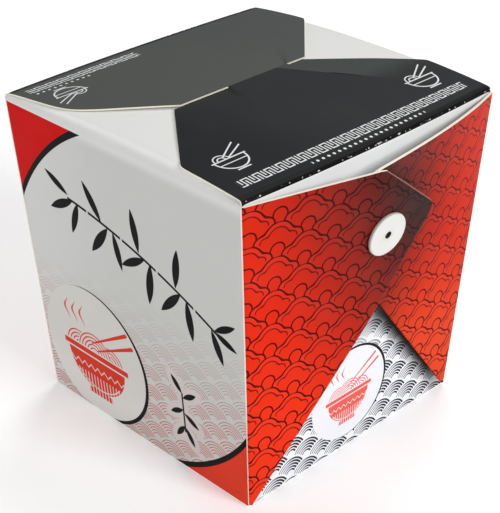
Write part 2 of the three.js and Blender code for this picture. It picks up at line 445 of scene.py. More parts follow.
# Bowl of noodles with chopsticks, the red line drawing inside the round panels. Millimetres, from
# the middle of its rim.
NOODLE_HEAPS = ((-7.6, 6.6), (7.4, 6.2), (-0.2, 8.2))  # middle along the rim, radius
NOODLE_STEP = 0.65  # from one strand to the gap beside it
CHOPSTICKS = ((-1, 4.5, 16.5, 15.5), (1.5, 2.5, 18.8, 11.6))  # thin end, thick end
STEAM_WISPS = (-12, -8.4, -4.8)
STEAM_HEIGHT, STEAM_HALF = 13.5, 5
BOWL_MIDDLE_Y = -1
HATCH_TOP = -8.6


def draw_bowl(x, y):
    body = most(beyond(x, y, (0, BOWL_MIDDLE_Y, 13.5)), y + 1.6)
    zigzag = abs(y + 5.8 + (x.math("PINGPONG", 1.6) - 0.8) * 1.1) - 0.3
    hatch = most(abs((x + 0.75).math("PINGPONG", 0.75)) - 0.2, y - HATCH_TOP)
    edge = most(abs(beyond(x, y, (0, BOWL_MIDDLE_Y, 12.6))) - 0.25, y - HATCH_TOP)
    foot = beyond_bar(x, y, 0, -15.2, 5.6, 1.1)
    rim = beyond_bar(x, y, 0, 0, 15.4, 1)
    strands = None
    for middle, radius in NOODLE_HEAPS:
        past = beyond(x, y, (middle, 0.4, radius))
        lines = most(abs((past + NOODLE_STEP).math("PINGPONG", NOODLE_STEP)) - 0.24, past)
        heap = inside(lines) * rise(y, 1.5, 1.7)
        strands = heap if strands is None else blend(heap, strands, inside(-past))
    sticks = []
    for thin_x, thin_y, thick_x, thick_y in CHOPSTICKS:
        run_x, run_y = thick_x - thin_x, thick_y - thin_y
        along = ((x - thin_x) * run_x + (y - thin_y) * run_y) / (run_x ** 2 + run_y ** 2)
        share = least(most(along, 0), 1)
        off_stick = reach(x - thin_x - share * run_x, y - thin_y - share * run_y)
        sticks.append(off_stick - share * 0.45 - 0.25)
    steam = []
    for middle in STEAM_WISPS:
        curl = abs(x - middle - (y * 0.8).math("SINE") * 0.9)
        steam.append(curl - rise(abs(y - STEAM_HEIGHT), STEAM_HALF, 0) * 0.5 + 0.02)
    wisps = most(least(*steam), abs(y - STEAM_HEIGHT) - STEAM_HALF)
    cut = inside(least(zigzag, hatch, edge))
    solid = inside(least(body, foot, rim))
    mask = most(solid * (1 - cut * 0.85), strands * (1 - inside(rim)), inside(least(*sticks)))
    return {"Drawing": most(mask, inside(wisps) * 0.9)}


noodle_bowl = print_group("noodle_bowl", ("X", "Y"), draw_bowl)


def crescent(x, y, circle, shift):
    """A round panel: its inside, and the outline left by a smaller circle moved over by shift."""
    middle_x, middle_y, radius = circle
    panel = inside(beyond(x, y, circle))
    smaller = (middle_x + shift[0], middle_y + shift[1], radius - math.hypot(*shift))
    outline = most(panel - inside(beyond(x, y, smaller)), 0)
    return panel, outline * rise(x - middle_x, -0.5 * radius, 0)


# Bamboo in black brush ink: a bowed branch with joints and a small upright sprig. Each leaf is the
# lens between two circles.
BRANCH_BOW = (-44, -88, 163.8)  # circle that the branch follows
BRANCH_MIDDLE, BRANCH_HALF = 5.5, 29
BRANCH_WIDTH = 0.42  # half of it
JOINT_STEP, JOINT_GAP = 7, 0.35
SPRIG_X, SPRIG_Y, SPRIG_HALF = 18.5, 20.6, 7.1
SPRIG_WIDTH = 0.32  # likewise
BRANCH_LEAVES = (
    # stalk, direction in degrees, length, width
    ((-23, 75.5), 152, 11, 2.4), ((-21, 74.5), 208, 12.5, 2.8), ((-19, 74.5), 250, 12, 2.6),
    ((-9, 72), 122, 13, 2.8), ((-6.5, 71.3), 232, 13.5, 3), ((-4.5, 71), 282, 12, 2.6),
    ((6, 68.4), 98, 13.5, 2.8), ((8.5, 67.6), 210, 12, 2.6), ((10.5, 67), 262, 14, 3),
    ((20, 63.3), 82, 13, 2.8), ((22, 62.4), 226, 12.5, 2.8), ((24, 61.3), 276, 13, 2.8),
    ((34, 56), 30, 9.5, 2.2), ((34, 56), 338, 9, 2.2), ((33, 56.2), 290, 11, 2.6),
)
SPRIG_LEAVES = (
    ((18.5, 27.4), 128, 6.6, 1.9), ((18.7, 25.9), 32, 6.6, 1.9), ((18.4, 21.7), 210, 6.3, 1.8),
    ((18.7, 20.6), 330, 6.6, 1.9), ((18.4, 15.7), 232, 6.3, 1.8), ((18.7, 15.4), 300, 6.6, 1.9),
)


def leaf(x, y, stalk, angle, length, width):
    radius = (length ** 2 + width ** 2) / (4 * width)
    turn = math.radians(angle)
    along = Vector((math.cos(turn), math.sin(turn)))
    middle = Vector(stalk) + along * (length / 2)
    off = Vector((-along.y, along.x)) * (radius - width / 2)
    return most(*(beyond(x, y, (*centre, radius)) for centre in (middle + off, middle - off)))


def draw_branch(x, y):
    stem = most(abs(beyond(x, y, BRANCH_BOW)) - BRANCH_WIDTH, abs(x - BRANCH_MIDDLE) - BRANCH_HALF)
    shape = most(stem, JOINT_GAP - (x + 1).math("PINGPONG", JOINT_STEP))
    return {"Leaves": inside(least(shape, *(leaf(x, y, *one) for one in BRANCH_LEAVES)))}


def draw_sprig(x, y):
    stem = beyond_bar(x, y, SPRIG_X, SPRIG_Y, SPRIG_WIDTH, SPRIG_HALF)
    shape = least(stem, *(leaf(x, y, *one) for one in SPRIG_LEAVES))
    return {"Sprig": inside(shape), "Halo": rise(shape, 2.4, 1.2)}


bamboo_branch = print_group("bamboo_branch", ("X", "Y"), draw_branch)
bamboo_sprig = print_group("bamboo_sprig", ("X", "Y"), draw_sprig)

# The plain side's print on a ground of painted shade: colours, and places in millimetres across
# the side and up its slope. A circle is its middle and radius, and the corners are inked outside
# theirs.
# The ground is white board painted grey as painted shade, a little less of it towards the left edge.
PLAIN_SHADE_GREY = ink(197, 198, 195)
PALER_SHADE_GREY = ink(205, 206, 204)  # towards the left edge
# painted light on the plain side's roll, and painted shade where the white flaps turn down into it
ROLL_LIGHT_AND_SHADE = ink(220, 220, 218)  # on the roll at the top
FAN_GREY = ink(160, 146, 142)
FAN_PINK = ink(190, 112, 102)  # lower down
PANEL_WARM = ink(206, 204, 199)
PANEL_PALE = ink(218, 216, 211)  # at the panel's foot
RED_INK = ink(196, 2, 0)
ORANGE_RED_INK = ink(216, 58, 34)
BLACK_INK = ink(14, 15, 17)
DRAWING_RED = ink(206, 52, 34)
PRINT_ROUGHNESS = 0.36

PLAIN_PANEL = (-19.6, 21.9, 23.2)
PLAIN_FAN_RADIUS = 6.46
UPPER_BLACK, UPPER_RED = (20.4, 30.4, 75.2), (25.6, 26.4, 83.4)
LOWER_BLACK, LOWER_RED = (-8.9, 58.4, 62), (-9.6, 58.2, 64)
UPPER_CORNER_TOP = 97.2


def paint_plain_side(x, y):
    """Pale grey ground of painted shade, with painted light on the roll at the top, fading fans, a round
    panel, a branch, and red in two corners.
    """
    # painted shade: the grey ground, paler towards the left edge
    ground = over(PLAIN_SHADE_GREY, PALER_SHADE_GREY, rise(x, 0, -45))
    # painted light on the roll at the top of the plain side
    ground = over(ground, ROLL_LIGHT_AND_SHADE, rise(y, 94.4, 98.2))
    fans = fan_lines(x + 1.1, y - 0.6, PLAIN_FAN_RADIUS, 0.32, 0.42) * rise(y - x * 0.08, 62, 12)
    colour = over(ground, over(FAN_GREY, FAN_PINK, rise(y + least(x, 0) * 0.4, 52, 18)), fans)
    sprig, halo = printed(bamboo_sprig, x, y)
    colour = over(colour, ink(205, 195, 191), halo)
    panel, outline = crescent(x, y, PLAIN_PANEL, (-0.6, 0.28))
    colour = over(colour, over(PANEL_PALE, PANEL_WARM, rise(y, 4, 26)), panel)
    colour = over(colour, DRAWING_RED, printed(noodle_bowl, (x + 20) * 1.05, (y - 21.4) * 1.05))
    colour = over(colour, BLACK_INK, most(outline, sprig, printed(bamboo_branch, x, y)))
    upper = rise(x, 0, -8) * inside(y - UPPER_CORNER_TOP)
    lower = rise(x, -6, 4) * rise(y, 50, 40)
    for circle, corner, corner_ink in (
            (UPPER_BLACK, upper, BLACK_INK), (UPPER_RED, upper, RED_INK),
            (LOWER_BLACK, lower, BLACK_INK), (LOWER_RED, lower, ORANGE_RED_INK)):
        colour = over(colour, corner_ink, inside(-beyond(x, y, circle)) * corner)
    return colour


# The gusset side's print. It darkens along the lower wing's fold and deep between the wings:
# partly the print's own dark brushing, partly painted shade.
# painted shade with the print's dark brushing, deep between the wings and along the lower wing's fold
GUSSET_DEEP_SHADE = ink(70, 70, 72)  # deep between the wings
FOLD_SHADE = ink(14, 14, 16)
UNPRINTED = ink(234, 235, 235)  # under the wings
GUSSET_PANEL = (-2.6, 19.6, 15.6)
GUSSET_FAN_TURN, GUSSET_FAN_PLACE = 1.6, (18.3, -0.4)
GUSSET_FAN_RADIUS, GUSSET_FAN_SQUASH = 6.3, 0.937

WEB_ANGLE = math.radians(41.8)
HINGE_LEAN = math.atan2(MOUTH_HALF_Y - BASE_HALF, SLANT_X)
FOLD_LEAN = WEB_ANGLE - HINGE_LEAN  # of a wing's fold from upright


def paint_gusset_side(x, y):
    """White ground with dark fans, painted shade deep between the wings and towards the lower
    wing's fold, and the round panel.
    """
    from_fold = (BASE_HALF / MM - x) * math.cos(FOLD_LEAN) - y * math.sin(FOLD_LEAN)
    across, up = turned(x, y, GUSSET_FAN_TURN, GUSSET_FAN_PLACE)
    faded = rise(y, 20, 38) * rise(from_fold, 3, 9) * 0.55
    fans = fan_lines(across, up * GUSSET_FAN_SQUASH, GUSSET_FAN_RADIUS, 0.28, 0.6) * (1 - faded)
    colour = over(ink(230, 232, 236), ink(34, 38, 52), fans)
    # painted shade, with the print's dark brushing, between the wings and along the lower wing's fold
    colour = over(colour, GUSSET_DEEP_SHADE, rise(y, 33, 44) * 0.6)
    colour = over(colour, FOLD_SHADE, rise(from_fold, 6.5, 0.4) * rise(x, 45, 33) * rise(y, 80, 38))
    panel, outline = crescent(x, y, GUSSET_PANEL, (-0.32, -0.26))
    colour = over(colour, ink(226, 228, 234), panel)
    colour = over(colour, ink(222, 92, 80), printed(noodle_bowl, (x + 2.9) * 1.6, (y - 19.2) * 1.6))
    colour = over(colour, BLACK_INK, outline)
    return over(colour, UNPRINTED, rise(y, 52, 56))


def paint_white(x, y):
    """Bare white board, paler at the rims, with painted light on the white flaps' roll at the end
    of y, and painted shade where the roll turns down to the plain side.
    """
    colour = over(ink(225, 225, 223), ink(238, 238, 236), rise(abs(x), 20, 50))
    # painted light on the white flaps' roll, then painted shade past it where it turns down
    colour = over(colour, ink(240, 240, 238), rise(abs(y), 46.9, 48))
    return over(colour, ROLL_LIGHT_AND_SHADE, rise(abs(y), 48.2, 49))


white_board = board_material("white_board", 0.42, paint_white)
tub.data.materials.append(board_material("plain_side_print", PRINT_ROUGHNESS, paint_plain_side))
tub.data.materials.append(board_material("gusset_side_print", PRINT_ROUGHNESS, paint_gusset_side))
tub.data.materials.append(white_board)

# ---- wings ----
# Each corner web is folded in half on its slanting score and laid over the gusset side outside, so
# a wing is two plies with a rounded fold, open at the top. It keeps some spring and stands off.

WING_FALL = 0.09  # slope of the top edge, down from the hinge
UPPER_REACH = 98.8 * MM  # along the fold from the bottom corner to the clipped end
LOWER_REACH = 108 * MM
TIP_RADIUS = 4 * MM
WING_SEAT = 0.7 * MM
WING_THICKNESS = 0.8 * MM
PLY = 0.36 * MM
HINGE_CURL = 0.7 * MM
UPPER_SLOPE = 0.148  # how the upper wing leans out from its hinge
UPPER_LIFT = 0.074  # and how much more at its top
UPPER_LIFT_RUN = (64 * MM, 95 * MM)
UPPER_KNEE = 38 * MM  # from the hinge to where it bends back
KNEE_RUN = 8 * MM
LOWER_STAND_OFF = 9 * MM
LOWER_BEND = 30 * MM
LOWER_CURVE = 1.3  # the higher, the nearer to its top the lower wing comes off the side
LEFT_SPRING = 0.4  # share of the stand-off that the wings of the -X side keep
LEAN_SHORTENING = 0.987
WING_GRID = (96, 56)
BOARD_SMOOTHING = 50

HINGE_LENGTH = math.hypot(SLANT_X, MOUTH_HALF_Y - BASE_HALF)
SIDE_UP = Vector((MOUTH_HALF_X - BASE_HALF, 0, HINGE_HEIGHT)).normalized()
SIDE_OUT = Vector((HINGE_HEIGHT, 0, BASE_HALF - MOUTH_HALF_X)).normalized()


# A place on a wing is u out from its hinge and v up along it, from the bottom corner.

def upper_stand_off(u, v):
    past = max(0, u - UPPER_KNEE)
    bent = u - past + KNEE_RUN * (1 - math.exp(-past / KNEE_RUN))
    return WING_SEAT + bent * (UPPER_SLOPE + UPPER_LIFT * ease(v, *UPPER_LIFT_RUN))


def lower_stand_off(u, v):
    fold_v = u / math.tan(WEB_ANGLE)
    top_v = HINGE_LENGTH - WING_FALL * u
    share = portion(v, fold_v, top_v) ** LOWER_CURVE
    return WING_SEAT + LOWER_STAND_OFF * (1 - math.exp(-u / LOWER_BEND)) * share


def web_reach(angle, fold_reach):
    """Distance from the bottom corner to the web's outline: top edge, clipped end, round tip."""
    from_fold = WEB_ANGLE - angle
    to_top = HINGE_LENGTH / (math.cos(angle) + WING_FALL * math.sin(angle))
    to_clip = fold_reach / math.cos(from_fold)
    if to_clip < to_top and to_clip * math.sin(from_fold) < TIP_RADIUS:
        along = fold_reach - TIP_RADIUS
        half = along * math.cos(from_fold) + TIP_RADIUS * math.sin(from_fold)
        return half + math.sqrt(half * half - along * along)
    return min(to_top, to_clip)


def clip_angle(fold_reach):
    """Direction from the bottom corner to where the clipped end meets the top edge."""
    cos, sin = math.cos(WEB_ANGLE), math.sin(WEB_ANGLE)
    return math.atan((fold_reach - HINGE_LENGTH * cos) / (HINGE_LENGTH * sin - fold_reach * WING_FALL))


def on_ladder(share, rungs):
    """Value at a share 0..1, straight between (share, value) rungs."""
    for (low, first), (high, last) in zip(rungs, rungs[1:]):
        if share <= high:
            return blend(first, last, (share - low) / (high - low))
    return rungs[-1][1]


def wing_point(corner, u, v, off):
    """A wing's place u, v in the box, off the side by so much. corner is 1 at +Y and -1 at -Y."""
    run = u * LEAN_SHORTENING
    up = v * math.cos(HINGE_LEAN) + run * math.sin(HINGE_LEAN)
    y = corner * (BASE_HALF + v * math.sin(HINGE_LEAN) - run * math.cos(HINGE_LEAN))
    return Vector((BASE_HALF, y, 0)) + SIDE_UP * up + SIDE_OUT * off


FOLD_START, FOLD_END = 0.49, 0.53  # where the sheet turns from the outer to the inner ply
CORNER_GAP = 0.01  # the sheet starts that far out from the bottom corner, so that it has no point


def folded_web(corner, fold_reach, stand_off, p, q):
    """u, v and the middle of the board at p across the unfolded web and q out from its corner."""
    rungs = (
        (0, 0), (0.04, 0.003), (0.08, 0.012), (0.12, 0.04), (0.3, clip_angle(fold_reach)),
        (0.44, WEB_ANGLE - TIP_RADIUS / fold_reach), (FOLD_START, WEB_ANGLE),
    )
    outside = p <= FOLD_START
    back = (1 - p) / (1 - FOLD_END) * FOLD_START
    angle = on_ladder(p if outside else min(back, FOLD_START), rungs)
    distance = blend(CORNER_GAP, 1, q) * web_reach(angle, fold_reach)
    u, v = distance * math.sin(angle), distance * math.cos(angle)
    between_plies = WING_THICKNESS - PLY
    turn = portion(p, FOLD_START, FOLD_END) * math.pi
    off = stand_off(u, v) - PLY / 2 - between_plies * (1 - math.cos(turn)) / 2
    if outside and u < HINGE_CURL:
        curl = (HINGE_CURL - u) / HINGE_CURL * math.pi / 2
        curl_radius = HINGE_CURL - PLY / 2
        run = HINGE_CURL - curl_radius * math.sin(curl)
        return u, v, wing_point(corner, run, v, off - curl_radius * (1 - math.cos(curl)))
    bulge = between_plies / 2 * math.sin(turn)
    bulged_u, bulged_v = u + bulge * math.cos(WEB_ANGLE), v - bulge * math.sin(WEB_ANGLE)
    return u, v, wing_point(corner, bulged_u, bulged_v, off)


def flat_sheet(name, grid, materials):
    """A flat sheet 0..1 both ways, scored into a grid of columns and rows."""
    bpy.ops.object.select_all(action="DESELECT")
    bpy.ops.mesh.primitive_grid_add(
        x_subdivisions=grid[0], y_subdivisions=grid[1], size=1, location=(0.5, 0.5, 0))
    sheet = new_piece(name)
    for material in materials:
        sheet.data.materials.append(material)
    return sheet


def bend_board(piece, places, lay, inside_out, thickness):
    """Makes board of a flat sheet by bending it: printed outside, plain inside, cut edges round it."""
    print_map(piece.data, lay)
    for vertex, place in zip(piece.data.vertices, places):
        vertex.co = place
    if inside_out:
        piece.data.flip_normals()
    board = piece.modifiers.new("board", "SOLIDIFY")
    board.thickness = thickness
    board.offset = 0
    board.use_even_offset = True
    board.material_offset = 1
    board.material_offset_rim = 2
    bpy.ops.object.modifier_apply(modifier=board.name)
    smooth_board(piece, BOARD_SMOOTHING)


UNDER_PLY = 3  # first of the inner ply's three materials: each ply has its face, back and cut edge


def make_wing(name, corner, fold_reach, stand_off, materials):
    wing = flat_sheet(name, WING_GRID, materials)
    for face in wing.data.polygons:
        face.material_index = UNDER_PLY if face.center.x > FOLD_END else 0
    spots = [folded_web(corner, fold_reach, stand_off, *vertex.co.xy) for vertex in wing.data.vertices]

    def lay(face, vertex):
        u, v, _ = spots[vertex.index]
        across = BASE_HALF + v * math.sin(HINGE_LEAN) - u * math.cos(HINGE_LEAN)
        return corner * across, v * math.cos(HINGE_LEAN) + u * math.sin(HINGE_LEAN)

    bend_board(wing, [place for _, _, place in spots], lay, corner > 0, PLY)
    return wing


# Cloud scales, a traditional ground of clouds with a crown and a lobe on each side, in rows, each
# row in front of the one above, with a small round puff in each gap. Millimetres.
CLOUD_PITCH = 17.45
CLOUD_ROW = 5.15
# crown's radius, a lobe's place beside it, drop below it and radius, softness of their joint
CLOUD = (4.25, 5.2, 3.2, 2.1, 3)
CLOUD_CONTOUR = (3.05, 4.1, 2.3, 1.35, 2.4)
CONTOUR_DROP = 1.65
PUFF_RADIUS, PUFF_DROP = 2.15, 3.2


def lobes(across, below, crown_radius, side, side_drop, side_radius, softness):
    """Distance outside a cloud that runs down without end; below is 0 at its crown and falls."""
    crown_lobe = reach(across, most(below + crown_radius, 0)) - crown_radius
    side_lobe = reach(abs(across) - side, most(below + side_drop + side_radius, 0)) - side_radius
    return crown_lobe.math("SMOOTH_MIN", side_lobe, softness)


def draw_cloud_row(x, below):
    across = x.math("WRAP", CLOUD_PITCH / 2, -CLOUD_PITCH / 2)
    gap = (x - CLOUD_PITCH / 2).math("WRAP", CLOUD_PITCH / 2, -CLOUD_PITCH / 2)
    cloud = lobes(across, below, *CLOUD)
    contour = lobes(across, below + CONTOUR_DROP, *CLOUD_CONTOUR)
    puff = reach(gap, most(below + PUFF_DROP, 0)) - PUFF_RADIUS
    line = most(inside(abs(cloud) - 0.27), inside(abs(puff) - 0.26) * (1 - inside(cloud)))
    fine = inside(abs(contour) - 0.19) * rise(below, -5.7, -5.4)
    rim = inside(cloud) * inside(-contour)
    return {"Line": most(line, fine * 0.85), "Rim": rim, "Cover": inside(least(cloud, puff) - 0.25)}


cloud_row = print_group("cloud_row", ("X", "Below"), draw_cloud_row)


def draw_clouds(x, y):
    first = (y / CLOUD_ROW).math("FLOOR") + 1
    line = rim = None
    for k in (2, 1, 0):
        row = first + k
        shift = row.math("FLOORED_MODULO", 2) * (CLOUD_PITCH / 2)
        lines, rims, cover = printed(cloud_row, x + shift, y - row * CLOUD_ROW)
        line = lines if line is None else blend(line, lines, cover)
        rim = rims if rim is None else blend(rim, rims, cover)
    return {"Line": line, "Rim": rim}


cloud_scales = print_group("cloud_scales", ("X", "Y"), draw_clouds)

CLOUD_LINE, CLOUD_LINE_DARK = ink(90, 8, 2), ink(24, 15, 15)
HINGE_HIGHLIGHT = ink(236, 234, 228)  # painted highlight on the hinge's fold
CLIP_LINE_PINK = ink(168, 118, 106)


def wing_paint(reds, turn, crown_place, stretch, dark_place, dark_run, squeeze, dark_reach, worn=None):
    """The red runs from the first of reds, high up, to the second. The clouds lie turned by some
    degrees, one with its crown at crown_place. They darken towards dark_place over dark_reach, and
    further along dark_run, by 1 / squeeze, than across it. A pale pink line runs along the clipped
    end, past the last argument's millimetres along the fold."""
    def paint(x, y):
        across, up = turned(x, y, turn, crown_place)
        line, rim = printed(cloud_scales, across * stretch, up)
        high_red, low_red = reds
        colour = over(over(low_red, high_red, rise(y, 12, 66)), ink(222, 81, 59), rim * 0.1)
        from_x, from_y = x - dark_place[0], y - dark_place[1]
        along = from_x * dark_run[0] + from_y * dark_run[1]
        beside = from_x * dark_run[1] - from_y * dark_run[0]
        dark = rise(reach(along * squeeze, beside), *dark_reach)
        colour = over(colour, ink(54, 28, 26), dark)
        colour = over(colour, over(CLOUD_LINE, CLOUD_LINE_DARK, dark), line)
        # painted highlight: a thin white line along the hinge's fold, from partway up
        hinge = abs(abs(x) - BASE_HALF / MM - y * math.tan(HINGE_LEAN)) - 0.22
        colour = over(colour, HINGE_HIGHLIGHT, inside(hinge) * rise(y, 18, 40))
        if worn is None:
            return colour
        # a pale pink line along the clipped end
        along_fold = y * math.cos(FOLD_LEAN) + (x + BASE_HALF / MM) * math.sin(FOLD_LEAN)
        return over(colour, CLIP_LINE_PINK, inside(worn - along_fold) * 0.6)

    return paint


def paint_cut_edge(x, y):
    """Cream board with darker spots, as the knife leaves it."""
    return over(ink(242, 236, 218), ink(216, 204, 178), rise((x * 9 + y * 7).math("SINE"), -1, 1) * 0.35)


def half_turn(piece):
    """Takes a piece made on the +X side round to the -X side."""
    pick(piece)
    bpy.ops.transform.rotate(value=math.pi, orient_axis="Z", center_override=(0, 0, 0))
    bpy.ops.object.transform_apply(location=True, rotation=True, scale=True)


def flatter(stand_off):
    """The same wing pressed closer, as it lies on the -X side."""
    return lambda u, v: WING_SEAT + (stand_off(u, v) - WING_SEAT) * LEFT_SPRING


cut_edge = board_material("cut_edge", 0.7, paint_cut_edge, relief=0.00008)
upper_print = board_material("upper_wing_print", PRINT_ROUGHNESS, wing_paint(
    reds=(ink(212, 38, 12), ink(225, 49, 17)), turn=-0.5, crown_place=(-38.05, 81.05), stretch=1,
    dark_place=(13.5, 113.5), dark_run=(0.4, -0.917), squeeze=0.33, dark_reach=(78, 17), worn=98.5))
lower_print = board_material("lower_wing_print", PRINT_ROUGHNESS, wing_paint(
    reds=(ink(190, 33, 2), ink(214, 64, 28)), turn=5.7, crown_place=(31.4, 55.1), stretch=1.075,
    dark_place=(-30, 58), dark_run=(0.573, 0.82), squeeze=0.59, dark_reach=(60, 18)))

for name, corner, fold_reach, stand_off, print_material in (
        ("upper_wing", -1, UPPER_REACH, upper_stand_off, upper_print),
        ("lower_wing", 1, LOWER_REACH, lower_stand_off, lower_print)):
    materials = (print_material, white_board, cut_edge, white_board, white_board, cut_edge)
    wing = make_wing(name + "_right", corner, fold_reach, stand_off, materials)
    opposite = make_wing(name + "_left", corner, fold_reach, flatter(stand_off), materials)
    half_turn(opposite)
    for piece in (wing, opposite):
        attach(piece, "root")
        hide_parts("carton")

# ---- lid flaps ----
# The two black flaps fold in from the gusset sides and lock over the middle: the right one's tongue
# lies on top between the left one's corners. Printed black outside, on over the fold by a few mm.

LID_BOARD = 0.45 * MM
LID_TOP = 101.8 * MM
LID_FOLD = {1: 99.5 * MM, -1: 98.7 * MM}  # height of each flap's outer face at its fold
EDGE_DROOP = 0.11  # of the lid's doming, at its ends
DROOP_START = 10  # the higher, the nearer to the ends it starts
MEETING_X = -0.6 * MM
SHOULDER_RUN = 25.4 * MM  # a flap's run is measured from the meeting line towards its hinge
HINGE_HALF = 48.5 * MM
LID_EDGES = {
    # by side and end: half the meeting line, growth with the run to the shoulder, its rounding
    (1, -1): (27.2 * MM, 0.82, 0.6 * MM),
    (1, 1): (22.6 * MM, 1.05, 0.6 * MM),
    (-1, -1): (25.2 * MM, 1.19, 6.2 * MM),
    (-1, 1): (23.3 * MM, 1.05, 0.6 * MM),
}
TONGUE = (-7.2 * MM, 15.9 * MM)
TONGUE_SIDE = (0.25 * MM, 2.5 * MM)  # half the width of its sides, at the nose and where they fade
LAP_STEP = 0.3 * MM
LAP_FADE = 14 * MM
LID_ROLL = 0.8 * MM
ROLL_PULL = Vector((0.75, 0, 0.66))  # inwards and down, as the fold is rounded
FOLD_PROUD = 0.1 * MM  # of the gusset side under it
BOW_RUN = 9 * MM  # over which the flap follows the bow of its hinge
FACE_DROP = 1.2 * MM  # of the black edge face under the fold
FACE_PRINT = 1.3 * MM  # the same on the print
LID_GRID = (96, 90)


def lid_height(side, x, y):
    """Height of a flap's outer face: a dome from the fold to the middle, drooping at its ends."""
    droop = 1 - EDGE_DROOP * (abs(y) / MOUTH_HALF_Y) ** DROOP_START
    dome = (1 - min(abs(x) / MOUTH_HALF_X, 1) ** 2) * droop
    return LID_FOLD[side] + (LID_TOP - LID_FOLD[side]) * dome


def lid_half_width(side, end, run):
    """Half the flap's width: it widens from the meeting line to the shoulder, then runs level."""
    meeting_half, growth, rounding = LID_EDGES[side, end]
    slanting = meeting_half + growth * run
    return (slanting + HINGE_HALF - math.hypot(slanting - HINGE_HALF, rounding)) / 2


def lap(side, run, nose_y):
    """Step up of the flap that lies on top and step down of the other, fading with the run."""
    faded = portion(run, 0, LAP_FADE)
    half = blend(*TONGUE_SIDE, faded)
    tongue = ease(nose_y, TONGUE[0] - half, TONGUE[0] + half)
    tongue *= ease(nose_y, TONGUE[1] + half, TONGUE[1] - half)
    return LAP_STEP * side * (2 * tongue - 1) * (1 - faded)


def lid_point(side, path, share):
    """Middle of the flap's board. path is minus the way to its upper fold, or the share 0..1 of the
    edge face from there down to the crease, and share is -1..1 across."""
    hinge_run = MOUTH_HALF_X - side * MEETING_X
    run = hinge_run + min(path, 0)
    end = 1 if share > 0 else -1
    y = share * lid_half_width(side, end, run)
    fold_x = MOUTH_HALF_X + bow(1, y / MOUTH_HALF_Y) - LID_BOARD / 2 + FOLD_PROUD
    middle_z = lid_height(side, MOUTH_HALF_X + min(path, 0), y) - LID_BOARD / 2
    if path <= 0:
        bowed = ease(run, hinge_run - BOW_RUN, hinge_run) * (fold_x - MOUTH_HALF_X)
        meeting_half = LID_EDGES[side, end][0]
        place = Vector((MOUTH_HALF_X + path + bowed, y, middle_z + lap(side, run, share * meeting_half)))
    else:
        place = Vector((fold_x, y, blend(middle_z, crown(1, y / MOUTH_HALF_Y), path)))
    from_fold = -path if path < 0 else path * FACE_DROP
    place -= ROLL_PULL * rounded(from_fold, LID_ROLL)
    place.x *= side
    return place


def make_lid_flap(name, side, materials):
    hinge_run = MOUTH_HALF_X - side * MEETING_X
    flap = flat_sheet(name, LID_GRID, materials)
    paths = (
        (0, -hinge_run), (0.42, SHOULDER_RUN - hinge_run), (0.68, -6 * MM), (0.84, -1.2 * MM),
        (0.92, 0), (1, 1),
    )
    spots = []
    for vertex in flap.data.vertices:
        path = on_ladder(vertex.co.x, paths)
        spots.append((path, lid_point(side, path, vertex.co.y * 2 - 1)))

    def lay(face, vertex):
        path, place = spots[vertex.index]
        return MOUTH_HALF_X + (path if path < 0 else path * FACE_PRINT), place.y * side

    bend_board(flap, [place for _, place in spots], lay, side < 0, LID_BOARD)
    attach(flap, "root")
    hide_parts("carton")


# White line prints on the black: a small bowl of noodles, 9 mm wide at size 1, and a running fret.
MARK_LINE = 0.19  # half its width
MARK_BALL = (0, 0.6, 4)  # circle of the bowl


def draw_bowl_mark(x, y):
    bowl = most(abs(beyond(x, y, MARK_BALL)) - MARK_LINE, y - 0.6)
    rim = beyond_bar(x, y, 0, 0.8, 4.6, MARK_LINE)
    foot = beyond_bar(x, y, 0, -3.9, 1.8, MARK_LINE)
    band = most(beyond(x, y, MARK_BALL), abs(y + 0.8) - 0.14)
    first_stick = most(abs(y - 1.6 - (x + 1) * 0.62) - 0.2, abs(x - 2.2) - 3)
    second_stick = most(abs(y - 1 - (x - 0.2) * 0.5) - 0.2, abs(x - 3) - 2.8)
    strands = most(abs(abs(beyond(x, y, (-1.6, 0.9, 1.5))) - 0.45) - 0.15, 1 - y)
    return {"Mark": inside(least(bowl, rim, foot, band, first_stick, second_stick, strands))}


FRET_LINE = 0.2  # half its width
FRET_HALF = 1.6  # half its height


def draw_fret(along, across):
    """A running fret 3.2 mm tall with a 4 mm repeat."""
    phase = along.math("WRAP", 2, -2)
    half = phase.math("SIGN")
    level = abs(across - half * (FRET_HALF - FRET_LINE)) - FRET_LINE
    riser = most(least(abs(phase), abs(abs(phase) - 2)) - FRET_LINE, abs(across) - FRET_HALF)
    tick = most(abs(abs(phase) - 1) - FRET_LINE, abs(across + half * 0.5) - 1.1)
    return {"Fret": inside(least(level, riser, tick))}


# Ink worn off in specks along the fold, a little way down the edge face.
WEAR_RUN = 47.5


def draw_fold_wear(run):
    return {"Specks": rise(noise(run.tree, 900, 2), 0.6, 0.66) * rise(abs(run - WEAR_RUN), 0.45, 0.1)}


bowl_mark = print_group("bowl_mark", ("X", "Y"), draw_bowl_mark)
hinge_fret = print_group("hinge_fret", ("Along", "Across"), draw_fret)
fold_wear = print_group("fold_wear", ("Run",), draw_fold_wear)

LIFTED_BLACK = ink(62, 66, 65)  # past the crease, where the flap is lifted to the light
# painted highlight along the crease's ridge, and painted shade in its groove
CREASE_HIGHLIGHT, CREASE_SHADE = ink(80, 82, 80), ink(2, 2, 2)
CREASE_SLOPE, CREASE_START = 0.7, 12.3
DOT_RADIUS = 0.42


